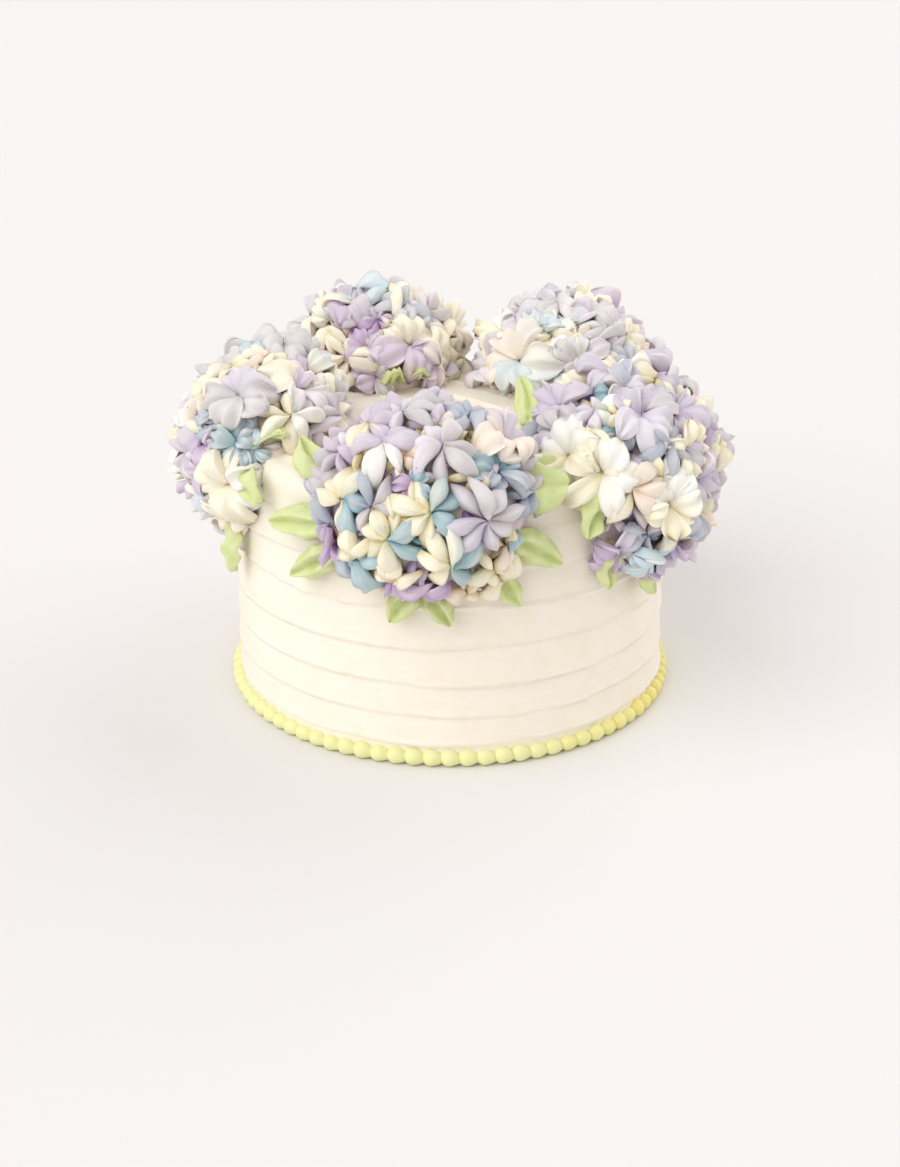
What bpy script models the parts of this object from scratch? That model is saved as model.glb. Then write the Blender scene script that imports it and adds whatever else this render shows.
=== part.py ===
"""Hydrangea cake: a round iced cake with five piped flower heads on its rim, leaves and a bead border.

Metres, +Z up. The origin is the centre of the cake's flat underside. A bearing is an angle about
the cake's axis in degrees, 0 towards -Y and growing towards +X.
"""
import math
import random
from collections import namedtuple

import bmesh
import bpy
from mathutils import Matrix, Vector

# Cake
CAKE_RADIUS = 0.0825
CAKE_HEIGHT = 0.101
CAKE_TAPER = 0.0012
CAKE_STEPS = 44
EDGE_RADIUS = 0.006
EDGE_STEPS = 3
BAND_COUNT = 7
BAND_DEPTH = 0.0008
BAND_MIDDLE = 0.45

# Bead border
BEAD_COUNT = 82
BEAD_RADIUS = 0.0033
BEAD_REACH = 0.0866
BEAD_NECK = 0.45
BEAD_FULLNESS = 0.6
BEAD_SECTIONS = 2
BEAD_SIDES = 6

# Flower heads: each is a pillow of flowers that laps over the rim
FLOWER_RADIUS = 0.0132
FLOWER_HEIGHT = 0.0095
RING_ELEVATIONS = (82, 50, 18, -14, -42)
RING_COUNTS = (1, 6, 8, 8, 7)
FLOWER_RINGS = 3
FLOWER_FULLNESS = 0.9
GROOVE_REACH = 0.66
DOME_RISE = 0.8
CREST_RISE = 0.55
GROOVE_DROP = 0.25
ELEVATION_SPREAD = 5
BEARING_SPREAD = 6
SIZE_SPREAD = 0.12
LEAN_SPREAD = 0.16
PETAL_CHOICES = (5, 5, 5, 6)
CORE_SINK = 0.0062
CORE_SEGMENTS = 12
CORE_RINGS = 7
FLOWER_MARGIN = 0.0015

# Leaves
LEAF_THICKNESS = 0.0016
LEAF_LIFT = 0.0009
LEAF_WAVE = 0.0009
LEAF_LENGTH_CELLS = 4
LEAF_WIDTH_CELLS = 2
LEAF_BELLY = 0.8
LEAF_FULLNESS = 0.75
LEAF_STEM = 0.25
LEAF_TURN_RADIUS = 0.02

# Clearance between neighbours
GAP = 0.00035
HEAD_GAP = 0.0009

# Points nearer than these are one point
MERGE_DISTANCE = 0.0001
SLIVER = 0.00003

Head = namedtuple("Head", "name bearing reach height outward along upward firsts seed")
HEADS = (
    Head("hydrangea_front", -6, 0.071, 0.0945, 0.0385, 0.0425, 0.0385, (-60, 16, -2, 12, -3), 11),
    Head("hydrangea_right", 61, 0.070, 0.0930, 0.0380, 0.0450, 0.0405, (-120, 0, 5, -18, 17), 12),
    Head("hydrangea_back_right", 139, 0.073, 0.0980, 0.0385, 0.0415, 0.0405, (-30, -14, -41, 140, 140), 13),
    Head("hydrangea_back_left", -156, 0.075, 0.1000, 0.0385, 0.0410, 0.0405, (51, 14, -10, -155, -155), 14),
    Head("hydrangea_left", -84, 0.068, 0.0940, 0.0360, 0.0430, 0.0400, (-120, -15, -10, -14, -26), 15),
)

# A leaf starts at a bearing and at a run, the way over the icing from the top's centre outwards
# and down the side. Its heading is 0 outwards or downwards and 90 towards a growing bearing.
Leaf = namedtuple("Leaf", "name bearing run heading length width curl")
LEAVES = (
    Leaf("leaf_front_a", -27, 0.091, -80, 0.025, 0.013, 0.003),
    Leaf("leaf_front_b", -26, 0.101, -56, 0.021, 0.011, 0.003),
    Leaf("leaf_front_c", -8, 0.111, -32, 0.015, 0.010, 0.002),
    Leaf("leaf_front_d", -5, 0.111, 30, 0.015, 0.010, 0.002),
    Leaf("leaf_front_e", 9, 0.104, 35, 0.017, 0.010, 0.002),
    Leaf("leaf_front_f", 13, 0.0925, 56, 0.021, 0.012, 0.003),
    Leaf("leaf_front_g", 14, 0.079, 82, 0.019, 0.011, 0.004),
    Leaf("leaf_front_h", -33, 0.078, -110, 0.018, 0.010, 0.006),
    Leaf("leaf_left_a", -71, 0.074, 92, 0.024, 0.013, 0.006),
    Leaf("leaf_left_b", -60, 0.086, 78, 0.019, 0.010, 0.003),
    Leaf("leaf_left_c", -66, 0.107, 4, 0.019, 0.011, 0.002),
    Leaf("leaf_left_d", -108, 0.100, -66, 0.024, 0.013, 0.004),
    Leaf("leaf_back_left_a", -162, 0.052, 180, 0.017, 0.011, 0.007),
    Leaf("leaf_back_left_b", -150, 0.050, 165, 0.016, 0.010, 0.008),
    Leaf("leaf_back_left_c", -150, 0.110, 12, 0.024, 0.013, 0.004),
    Leaf("leaf_back_left_d", -172, 0.108, 24, 0.022, 0.012, 0.003),
    Leaf("leaf_back_right_a", 167, 0.063, -156, 0.026, 0.012, 0.002),
    Leaf("leaf_back_right_b", 136, 0.110, -14, 0.024, 0.013, 0.004),
    Leaf("leaf_back_right_c", 122, 0.100, -62, 0.022, 0.012, 0.004),
    Leaf("leaf_right_a", 34, 0.073, -104, 0.020, 0.012, 0.004),
    Leaf("leaf_right_b", 38, 0.082, -38, 0.018, 0.012, 0.005),
    Leaf("leaf_right_c", 41, 0.102, -14, 0.017, 0.011, 0.002),
    Leaf("leaf_right_d", 53, 0.112, 14, 0.018, 0.010, 0.002),
    Leaf("leaf_right_e", 92, 0.100, 62, 0.024, 0.013, 0.004),
    Leaf("leaf_right_f", 64, 0.032, 102, 0.021, 0.011, 0.011),
)

# Colours, as linear red, green and blue
ICING_COLOUR = (0.93, 0.85, 0.70)
BEAD_COLOUR = (0.60, 0.66, 0.24)
LEAF_COLOUR = (0.50, 0.62, 0.29)
FLOWER_COLOUR = (0.60, 0.57, 0.72)
ICING_ROUGHNESS = 0.5


def clear_scene():
    """Removes every object that the scene holds."""
    for piece in list(bpy.data.objects):
        bpy.data.objects.remove(piece, do_unlink=True)


def new_collection(name):
    """Makes a collection in the scene."""
    collection = bpy.data.collections.new(name)
    bpy.context.scene.collection.children.link(collection)
    return collection


def icing(name, colour):
    """Makes a buttercream material."""
    material = bpy.data.materials.new(name)
    material.use_nodes = True
    shader = material.node_tree.nodes["Principled BSDF"]
    shader.inputs["Base Color"].default_value = (*colour, 1.0)
    shader.inputs["Roughness"].default_value = ICING_ROUGHNESS
    return material


def add_piece(name, bm, collection, material=None):
    """Turns a bmesh into a named object of a collection."""
    mesh = bpy.data.meshes.new(name)
    bm.to_mesh(mesh)
    bm.free()
    piece = bpy.data.objects.new(name, mesh)
    collection.objects.link(piece)
    if material:
        mesh.materials.append(material)
    return piece


def mark_cutter(piece):
    """Keeps a cutter out of the finished part."""
    piece.hide_render = True
    piece.display_type = "WIRE"


def apply_modifiers(piece):
    """Replaces a piece's mesh by its evaluated one."""
    depsgraph = bpy.context.evaluated_depsgraph_get()
    mesh = bpy.data.meshes.new_from_object(piece.evaluated_get(depsgraph))
    piece.modifiers.clear()
    piece.data = mesh


def cut(piece, cutter):
    """Takes a cutter's volume out of a piece."""
    modifier = piece.modifiers.new("cut", "BOOLEAN")
    modifier.operation = "DIFFERENCE"
    modifier.solver = "EXACT"
    modifier.object = cutter
    apply_modifiers(piece)


def join(piece, collection):
    """Fuses a collection's objects onto a piece and removes them."""
    modifier = piece.modifiers.new("join", "BOOLEAN")
    modifier.operation = "UNION"
    modifier.solver = "EXACT"
    modifier.operand_type = "COLLECTION"
    modifier.collection = collection
    apply_modifiers(piece)
    for part in list(collection.objects):
        bpy.data.objects.remove(part, do_unlink=True)
    bpy.data.collections.remove(collection)


def shells(bm):
    """Groups a mesh's faces into shells that share no edge."""
    waiting = set(bm.faces)
    groups = []
    while waiting:
        front = [waiting.pop()]
        group = list(front)
        while front:
            face = front.pop()
            for edge in face.edges:
                for other in edge.link_faces:
                    if other in waiting:
                        waiting.remove(other)
                        front.append(other)
                        group.append(other)
        groups.append(group)
    return groups


def face_outwards(bm):
    """Turns a closed mesh's faces outwards."""
    bmesh.ops.recalc_face_normals(bm, faces=bm.faces)
    if bm.calc_volume(signed=True) < 0:
        bmesh.ops.reverse_faces(bm, faces=bm.faces)


def drop_slivers(bm):
    """Gives the mesh without its shortest edges, or the mesh as it is where that would open it."""
    bmesh.ops.triangulate(bm, faces=bm.faces)
    clean = bm.copy()
    bmesh.ops.dissolve_degenerate(clean, dist=SLIVER, edges=clean.edges)
    bmesh.ops.triangulate(clean, faces=clean.faces)
    closed = all(edge.is_manifold for edge in clean.edges)
    dropped, kept = (bm, clean) if closed else (clean, bm)
    dropped.free()
    return kept


def keep_outer_shell(piece):
    """Keeps a piece's largest shell, which fills sealed hollows and drops loose scraps."""
    bm = bmesh.new()
    bm.from_mesh(piece.data)
    groups = sorted(shells(bm), key=lambda group: sum(face.calc_area() for face in group))
    for group in groups[:-1]:
        bmesh.ops.delete(bm, geom=group, context="FACES")
    bm = drop_slivers(bm)
    face_outwards(bm)
    bm.to_mesh(piece.data)
    bm.free()


def direction(bearing, elevation=0.0):
    """Gives the unit vector at a bearing and an elevation in degrees."""
    turn, rise = math.radians(bearing), math.radians(elevation)
    return Vector((math.sin(turn) * math.cos(rise), -math.cos(turn) * math.cos(rise), math.sin(rise)))


def cake_profile(grow=0.0):
    """Gives the cake's turned outline from the top's centre to the underside's centre."""
    top_radius = CAKE_RADIUS - CAKE_TAPER
    points = [(0.0, CAKE_HEIGHT)]
    for step in range(EDGE_STEPS + 1):
        angle = math.pi / 2 * step / EDGE_STEPS
        points.append((top_radius - EDGE_RADIUS * (1 - math.sin(angle)),
                       CAKE_HEIGHT - EDGE_RADIUS * (1 - math.cos(angle))))
    band = (CAKE_HEIGHT - EDGE_RADIUS) / BAND_COUNT
    for index in range(BAND_COUNT):
        upper = CAKE_HEIGHT - EDGE_RADIUS - band * index
        for share, depth in ((BAND_MIDDLE, BAND_DEPTH), (1.0, 0.0)):
            height = upper - band * share
            flare = CAKE_TAPER * (1 - height / CAKE_HEIGHT)
            points.append((top_radius + flare - depth, height))
    grown = [(radius + grow, height + grow) for radius, height in points[1:-1]]
    return [(0.0, CAKE_HEIGHT + grow), *grown, (CAKE_RADIUS + grow, -grow), (0.0, -grow)]


def make_cake(name, collection, material=None, grow=0.0):
    """Turns the cake's outline about +Z."""
    bm = bmesh.new()
    verts = [bm.verts.new((radius, 0.0, height)) for radius, height in cake_profile(grow)]
    for first, second in zip(verts, verts[1:]):
        bm.edges.new((first, second))
    piece = add_piece(name, bm, collection, material)
    turn = piece.modifiers.new("turn", "SCREW")
    turn.steps = turn.render_steps = CAKE_STEPS
    turn.use_merge_vertices = True
    turn.merge_threshold = MERGE_DISTANCE
    piece.data.shade_smooth()
    return piece


def make_border(collection, material):
    """Shapes a ring into a row of beads that touch, flattened where it meets the cake."""
    sections = BEAD_COUNT * BEAD_SECTIONS
    lift = BEAD_RADIUS * math.sin(math.tau / BEAD_SIDES)
    bpy.ops.mesh.primitive_torus_add(major_segments=sections, minor_segments=BEAD_SIDES,
                                     major_radius=BEAD_REACH - BEAD_RADIUS, minor_radius=BEAD_RADIUS)
    piece = bpy.context.object
    piece.name = piece.data.name = "bead_border"
    wall = CAKE_RADIUS + GAP
    for vert in piece.data.vertices:
        bearing = math.atan2(vert.co.y, vert.co.x)
        phase = bearing * BEAD_COUNT / math.tau % 1.0
        swell = BEAD_NECK + (1 - BEAD_NECK) * math.sin(math.pi * phase) ** BEAD_FULLNESS
        around = Vector((math.cos(bearing), math.sin(bearing), 0.0))
        middle = around * (BEAD_REACH - BEAD_RADIUS)
        place = middle + (vert.co - middle) * swell
        reach = max(place.dot(around), wall)
        vert.co = around * reach + Vector((0.0, 0.0, place.z + lift))
    for old in piece.users_collection:
        old.objects.unlink(piece)
    collection.objects.link(piece)
    piece.data.materials.append(material)
    return piece


def head_frame(head):
    """Gives a head's centre and its outward, along-the-rim and upward unit vectors."""
    outward = direction(head.bearing)
    upward = Vector((0.0, 0.0, 1.0))
    along = upward.cross(outward)
    return outward * head.reach + upward * head.height, outward, along, upward


def pillow_point(head, way, sink):
    """Gives the point and the normal of a head's pillow in a direction from its centre."""
    centre, outward, along, upward = head_frame(head)
    axes = ((outward, head.outward - sink), (along, head.along - sink), (upward, head.upward - sink))
    shares = [(axis, size, way.dot(axis) / size) for axis, size in axes]
    length = math.sqrt(sum(share * share for _, _, share in shares))
    point = centre + way / length
    normal = sum((axis * (share / size) for axis, size, share in shares), Vector())
    return point, normal.normalized()


def outside_cake(point):
    """Tells whether a point lies clear of the cake."""
    above = point.z > CAKE_HEIGHT + FLOWER_MARGIN
    beside = math.hypot(point.x, point.y) > CAKE_RADIUS + FLOWER_MARGIN
    return above or beside


def flower_places(head):
    """Lists a head's flowers ring by ring, each as its matrix, size and number of petals."""
    draw = random.Random(head.seed)
    places = []
    for elevation, count, first in zip(RING_ELEVATIONS, RING_COUNTS, head.firsts):
        for index in range(count):
            bearing = first + 360 * index / count + draw.uniform(-BEARING_SPREAD, BEARING_SPREAD)
            rise = elevation + draw.uniform(-ELEVATION_SPREAD, ELEVATION_SPREAD)
            size = 1 + draw.uniform(-SIZE_SPREAD, SIZE_SPREAD)
            lean = Vector([draw.uniform(-LEAN_SPREAD, LEAN_SPREAD) for _ in range(3)])
            spin = draw.uniform(0, math.tau)
            petals = draw.choice(PETAL_CHOICES)
            point, normal = pillow_point(head, direction(bearing, rise), FLOWER_HEIGHT)
            if outside_cake(point):
                facing = (normal + lean).to_track_quat("Z", "Y").to_matrix().to_4x4()
                matrix = Matrix.Translation(point) @ facing @ Matrix.Rotation(spin, 4, "Z")
                places.append((matrix, size, petals))
    return places


def shape_flower(bm, petals, radius, height):
    """Shapes a small sphere into an open flower, with a crest along each petal and grooves between."""
    for vert in bm.verts:
        way = vert.co.normalized()
        fall = math.acos(max(-1.0, min(1.0, way.z)))
        bearing = math.atan2(way.y, way.x)
        crest = 0.5 + 0.5 * math.cos(petals * (bearing - math.pi / 2))
        spread = GROOVE_REACH + (1 - GROOVE_REACH) * crest
        reach = radius * math.sin(fall) ** FLOWER_FULLNESS * spread
        rise = height * (DOME_RISE * math.cos(fall) + math.sin(fall) * (CREST_RISE * crest - GROOVE_DROP))
        vert.co = Vector((reach * math.cos(bearing), reach * math.sin(bearing), rise))


def make_flower(name, collection, matrix, petals, radius, height):
    """Makes one piped flower."""
    bm = bmesh.new()
    bmesh.ops.create_uvsphere(bm, u_segments=petals * 2, v_segments=FLOWER_RINGS, radius=1.0)
    shape_flower(bm, petals, radius, height)
    bmesh.ops.transform(bm, matrix=matrix, verts=bm.verts)
    return add_piece(name, bm, collection)


def make_core(head, collection, grow, material):
    """Makes the mound that a head's flowers are piped on."""
    centre, outward, along, upward = head_frame(head)
    sink = CORE_SINK - grow
    bm = bmesh.new()
    bmesh.ops.create_uvsphere(bm, u_segments=CORE_SEGMENTS, v_segments=CORE_RINGS, radius=1.0)
    sizes = (head.outward - sink, head.along - sink, head.upward - sink)
    columns = [axis * size for axis, size in zip((outward, along, upward), sizes)]
    matrix = Matrix(columns).transposed().to_4x4()
    matrix.translation = centre
    bmesh.ops.transform(bm, matrix=matrix, verts=bm.verts)
    return add_piece(head.name, bm, collection, material)


def make_head(head, collection, cutters, material=None, grow=0.0):
    """Fuses a head's flowers onto its core and fits it over the cake's rim, beside its neighbours."""
    piece = make_core(head, collection, grow, material)
    flowers = new_collection("flowers")
    for index, (matrix, size, petals) in enumerate(flower_places(head)):
        make_flower(f"flower_{index}", flowers, matrix, petals,
                    FLOWER_RADIUS * size + grow, FLOWER_HEIGHT * size + grow)
    join(piece, flowers)
    for cutter in cutters:
        cut(piece, cutter)
    keep_outer_shell(piece)
    return piece


def surface_point(bearing, run, lift):
    """Gives the point at a lift over the icing, at a bearing and a run from the top's centre."""
    bend = EDGE_RADIUS
    flat = CAKE_RADIUS - bend
    arc = bend * math.pi / 2
    if run < flat:
        radius, height = run, CAKE_HEIGHT + lift
    elif run < flat + arc:
        angle = (run - flat) / bend
        radius = flat + (bend + lift) * math.sin(angle)
        height = CAKE_HEIGHT - bend + (bend + lift) * math.cos(angle)
    else:
        radius, height = CAKE_RADIUS + lift, CAKE_HEIGHT - bend - (run - flat - arc)
    return direction(bearing) * radius + Vector((0.0, 0.0, height))


def leaf_point(leaf, share, side):
    """Gives a point of a leaf from its share of the length, 0 to 1, and its side, -1 to 1."""
    outline = math.sin(math.pi * share ** LEAF_BELLY) ** LEAF_FULLNESS if share < 1 else 0.0
    half = leaf.width * max(outline / 2, LEAF_STEM * (1 - share))
    forward = leaf.length * share
    across = half * side
    turn = math.radians(leaf.heading)
    run = leaf.run + forward * math.cos(turn) - across * math.sin(turn)
    sweep = forward * math.sin(turn) + across * math.cos(turn)
    turn_radius = max(min(run, CAKE_RADIUS), LEAF_TURN_RADIUS)
    bearing = leaf.bearing + math.degrees(sweep / turn_radius)
    ripple = LEAF_WAVE * math.sin(share * 3 * math.pi) * side
    fold = LEAF_WAVE * abs(side)
    lift = LEAF_LIFT + leaf.curl * share ** 2 + fold + ripple
    return surface_point(bearing, run, lift)


def make_leaf(leaf, collection, cutters, material):
    """Makes a thin wavy leaf that lies on the icing and ends where it meets the flower heads."""
    bm = bmesh.new()
    bmesh.ops.create_grid(bm, x_segments=LEAF_LENGTH_CELLS, y_segments=LEAF_WIDTH_CELLS, size=1.0)
    bmesh.ops.triangulate(bm, faces=bm.faces)
    for vert in bm.verts:
        vert.co = leaf_point(leaf, (vert.co.x + 1) / 2, vert.co.y)
    bmesh.ops.remove_doubles(bm, verts=bm.verts, dist=MERGE_DISTANCE)
    bmesh.ops.solidify(bm, geom=bm.faces[:], thickness=-LEAF_THICKNESS)
    face_outwards(bm)
    piece = add_piece(leaf.name, bm, collection, material)
    for cutter in cutters:
        cut(piece, cutter)
    keep_outer_shell(piece)
    return piece


def build():
    """Builds the cake and everything that is piped on it."""
    clear_scene()
    cake = new_collection("hydrangea_cake")
    cutters = new_collection("cutters")
    make_cake("cake_body", cake, icing("cake_icing", ICING_COLOUR))
    make_border(cake, icing("bead_icing", BEAD_COLOUR))
    cake_cutter = make_cake("cake_clearance", cutters, grow=GAP)
    head_cutters = []
    for head in HEADS:
        make_head(head, cake, [cake_cutter, *head_cutters], icing(f"{head.name}_icing", FLOWER_COLOUR))
        head_cutters.append(make_head(head, cutters, [cake_cutter], grow=HEAD_GAP))
    leaf_icing = icing("leaf_icing", LEAF_COLOUR)
    for leaf in LEAVES:
        make_leaf(leaf, cake, [cake_cutter, *head_cutters], leaf_icing)
    for cutter in [cake_cutter, *head_cutters]:
        mark_cutter(cutter)


build()
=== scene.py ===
"""Looks of the hydrangea cake: iced body, bead border, piped flower heads, leaves, floor, light and camera.

Metres, +Z up, in the frame of the CAD model. A bearing is an angle about the cake's axis in degrees,
0 towards -Y and growing towards +X. An elevation is an angle above the horizontal in degrees.
"""
import logging
import math
import random
from dataclasses import dataclass
from enum import Enum
from functools import cached_property

import bmesh
import bpy
from mathutils import Matrix, Vector, noise


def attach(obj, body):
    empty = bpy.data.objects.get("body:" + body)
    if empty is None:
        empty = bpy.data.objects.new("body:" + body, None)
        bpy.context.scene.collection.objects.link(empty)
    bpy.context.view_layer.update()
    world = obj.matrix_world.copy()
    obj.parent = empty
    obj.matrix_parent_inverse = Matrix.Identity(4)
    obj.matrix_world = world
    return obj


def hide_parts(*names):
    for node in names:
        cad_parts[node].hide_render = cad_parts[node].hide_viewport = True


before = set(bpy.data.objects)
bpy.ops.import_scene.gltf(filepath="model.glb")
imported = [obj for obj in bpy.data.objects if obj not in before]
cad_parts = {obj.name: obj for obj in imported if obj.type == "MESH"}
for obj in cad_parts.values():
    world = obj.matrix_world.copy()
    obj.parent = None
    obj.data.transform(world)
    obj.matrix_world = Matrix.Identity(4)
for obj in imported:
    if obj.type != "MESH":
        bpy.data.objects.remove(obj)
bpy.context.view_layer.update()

LOG = logging.getLogger("hydrangea_cake")
BODY = "root"
CAKE_RADIUS = 0.0825
CAKE_HEIGHT = 0.101
CAKE_EDGE = 0.006
FRONT_TILT = math.radians(23.5)
FRONT_RIGHT = Vector((1.0, 0.0, 0.0))
FRONT_UP = Vector((0.0, math.sin(FRONT_TILT), math.cos(FRONT_TILT)))
GOLDEN_ANGLE = 137.5
SAME_POINT = 0.00001

Socket = bpy.types.NodeSocket
BMesh = bmesh.types.BMesh


def direction(bearing: float, elevation: float = 0.0) -> Vector:
    """Gives the unit vector at a bearing and an elevation in degrees."""
    turn, rise = math.radians(bearing), math.radians(elevation)
    return Vector((math.sin(turn) * math.cos(rise), -math.cos(turn) * math.cos(rise), math.sin(rise)))


def ease(value: float, low: float, high: float) -> float:
    """Eases a value from 0 at the low limit to 1 at the high one."""
    share = min(1.0, max(0.0, (value - low) / (high - low)))
    return share * share * (3 - 2 * share)


def hill(share: float, power: float) -> float:
    """Gives a hump that is 0 at the shares 0 and 1 and 1 at the middle, blunter for a lower power."""
    return max(0.0, math.sin(math.pi * share)) ** power


def seen(away: Vector) -> Vector:
    """Gives how far to the right and how far up a vector points, as seen from the cake's front."""
    return Vector((away.dot(FRONT_RIGHT), away.dot(FRONT_UP)))


class Tone(Enum):
    """Buttercream colours as display red, green and blue, 0 to 255."""

    IVORY = (254, 246, 219)
    CREAM = (248, 234, 218)
    WHITE = (252, 250, 245)
    GREY = (212, 207, 210)
    LILAC = (214, 205, 220)
    PALE_LILAC = (236, 230, 238)
    PURPLE = (200, 177, 209)
    DEEP_PURPLE = (152, 120, 158)
    BLUE = (170, 197, 204)
    PALE_BLUE = (204, 223, 231)
    SLATE = (186, 193, 206)
    CAKE = (252, 244, 230)
    CAKE_SHADE = (248, 237, 215)
    BEAD_GREEN = (238, 238, 176)
    BEAD_YELLOW = (243, 230, 142)
    LEAF = (222, 230, 174)
    LEAF_DARK = (200, 212, 138)
    SPECK = (126, 142, 80)
    FLOOR = (233, 231, 231)
    AIR = (247, 245, 244)

    @property
    def linear(self) -> Vector:
        """The colour as linear red, green and blue."""
        return Vector([(part / 255 + 0.055) ** 2.4 / 1.055 ** 2.4 for part in self.value])

    @property
    def rgba(self) -> tuple[float, float, float, float]:
        """The colour as linear values with full opacity."""
        return (*self.linear, 1.0)


class Style(Enum):
    """How a flower's petals are piped."""

    STAR = "star"
    RUFFLE = "ruffle"


class Slot(Enum):
    """Material slots of the record."""

    CAKE = "cake_icing"
    BEADS = "bead_icing"
    FLOWERS = "flower_icing"
    LEAVES = "leaf_icing"


@dataclass(frozen=True)
class Tree:
    """A node tree with short ways to add and link nodes.

    Attributes:
        tree: The material's or the group's node tree.
    """

    tree: bpy.types.NodeTree

    def add(self, kind: str, settings: dict[str, object] | None = None,
            inputs: dict[object, object] | None = None) -> bpy.types.Node:
        """Adds a node.

        Args:
            kind: The node's type name.
            settings: Values of the node's own properties.
            inputs: Constants or source sockets by input name or number.

        Returns:
            The new node.
        """
        node = self.tree.nodes.new(kind)
        for key, value in (settings or {}).items():
            setattr(node, key, value)
        for key, value in (inputs or {}).items():
            if isinstance(value, Socket):
                self.tree.links.new(value, node.inputs[key])
            else:
                node.inputs[key].default_value = value
        return node

    def mix(self, share: object, first: object, second: object) -> Socket:
        """Mixes two colours by the share of the second one."""
        node = self.add("ShaderNodeMix", {"data_type": "RGBA"}, {0: share, 6: first, 7: second})
        return node.outputs[2]

    def math(self, operation: str, first: object, second: object = 0.0) -> Socket:
        """Combines two values by an operation's name."""
        return self.add("ShaderNodeMath", {"operation": operation}, {0: first, 1: second}).outputs[0]

    def ramp(self, value: object, low: float, high: float) -> Socket:
        """Eases a value from 0 at the low limit to 1 at the high one."""
        node = self.add("ShaderNodeMapRange", {"interpolation_type": "SMOOTHSTEP"},
                        {"Value": value, "From Min": low, "From Max": high})
        return node.outputs["Result"]

    def attribute(self, name: str, output: str) -> Socket:
        """Reads a mesh attribute from the output of a name."""
        return self.add("ShaderNodeAttribute", {"attribute_name": name}).outputs[output]

    def place(self) -> Socket:
        """Gives the point on the object."""
        return self.add("ShaderNodeTexCoord").outputs["Object"]

    def stretch(self, vector: Socket, scale: tuple[float, float, float]) -> Socket:
        """Scales a vector along each axis."""
        return self.add("ShaderNodeMapping", None, {"Vector": vector, "Scale": scale}).outputs["Vector"]

    def noise(self, vector: Socket, scale: float, detail: float) -> Socket:
        """Gives a noise at a vector."""
        inputs = {"Vector": vector, "Scale": scale, "Detail": detail}
        return self.add("ShaderNodeTexNoise", None, inputs).outputs["Fac"]


def set_inputs(node: bpy.types.Node, values: dict[str, object]) -> None:
    """Sets a node's constants by input name."""
    for name, value in values.items():
        node.inputs[name].default_value = value


def grain_group() -> bpy.types.NodeTree:
    """Makes the group that all the icings share.

    Returns:
        A group with the outputs Height, Mottle and Pits.
    """
    fine_scale, broad_scale, cell_scale = 620.0, 110.0, 310.0
    pit_rim, pit_middle = 0.13, 0.05
    patch_low, patch_high = 0.56, 0.62
    fine_share = 0.35
    group = bpy.data.node_groups.new("icing_grain", "ShaderNodeTree")
    fineness = group.interface.new_socket(name="Fineness", in_out="INPUT", socket_type="NodeSocketFloat")
    fineness.default_value = 1.0
    for name in ("Height", "Mottle", "Pits"):
        group.interface.new_socket(name=name, in_out="OUTPUT", socket_type="NodeSocketFloat")
    tree = Tree(group)
    entry = tree.add("NodeGroupInput")
    scaled = tree.add("ShaderNodeVectorMath", {"operation": "SCALE"},
                      {"Vector": tree.place(), "Scale": entry.outputs["Fineness"]}).outputs["Vector"]
    fine = tree.noise(scaled, fine_scale, 4.0)
    broad = tree.noise(scaled, broad_scale, 3.0)
    cells = tree.add("ShaderNodeTexVoronoi", None, {"Vector": scaled, "Scale": cell_scale})
    dots = tree.ramp(cells.outputs["Distance"], pit_rim, pit_middle)
    pits = tree.math("MULTIPLY", dots, tree.ramp(broad, patch_low, patch_high))
    rough = tree.math("MULTIPLY", fine, fine_share)
    height = tree.math("ADD", rough, tree.math("MULTIPLY", broad, 1.0 - fine_share))
    carved = tree.math("SUBTRACT", height, pits)
    tree.add("NodeGroupOutput", None, {"Height": carved, "Mottle": broad, "Pits": pits})
    return group


@dataclass(frozen=True)
class IcingFinish:
    """How a buttercream catches the light.

    Attributes:
        name: Name of the material.
        roughness: Roughness of the surface.
        subsurface: Share of the light that goes under the surface.
        scatter: How far that light goes, in metres.
        bump: Depth of the fine relief, in metres.
        fineness: How fine the grain is.
        bump_strength: Share of the relief that shows.
        shine: Level of the mirrored light.
        scatter_colour: How far red, green and blue go under the surface, as shares of scatter.
    """

    name: str
    roughness: float = 0.48
    subsurface: float = 0.15
    scatter: float = 0.0015
    bump: float = 0.00022
    fineness: float = 1.0
    bump_strength: float = 0.8
    shine: float = 0.35
    scatter_colour: tuple[float, float, float] = (1.0, 0.55, 0.3)

    def dress(self, colour: "ColourRule", grain: bpy.types.NodeTree) -> bpy.types.Material:
        """Builds the material.

        Args:
            colour: Rule that gives the base colour's and the extra relief's sockets.
            grain: The group that all the icings share.

        Returns:
            The material.
        """
        material = bpy.data.materials.new(self.name)
        material.use_nodes = True
        tree = Tree(material.node_tree)
        shader = material.node_tree.nodes["Principled BSDF"]
        group = tree.add("ShaderNodeGroup", {"node_tree": grain}, {"Fineness": self.fineness})
        base, relief = colour.sockets(tree, group)
        bump = tree.add("ShaderNodeBump", None,
                        {"Height": relief, "Distance": self.bump, "Strength": self.bump_strength})
        tree.tree.links.new(base, shader.inputs["Base Color"])
        tree.tree.links.new(bump.outputs["Normal"], shader.inputs["Normal"])
        set_inputs(shader, {"Roughness": self.roughness, "Subsurface Weight": self.subsurface,
                            "Subsurface Radius": self.scatter_colour, "Subsurface Scale": self.scatter,
                            "Specular IOR Level": self.shine})
        return material


class ColourRule:
    """Gives a material's base colour and relief."""

    def sockets(self, tree: Tree, grain: bpy.types.Node) -> tuple[Socket, Socket]:
        """Builds the nodes.

        Args:
            tree: The material's tree.
            grain: The shared grain's node.

        Returns:
            The sockets of the colour and of the relief.
        """
        raise NotImplementedError


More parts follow.
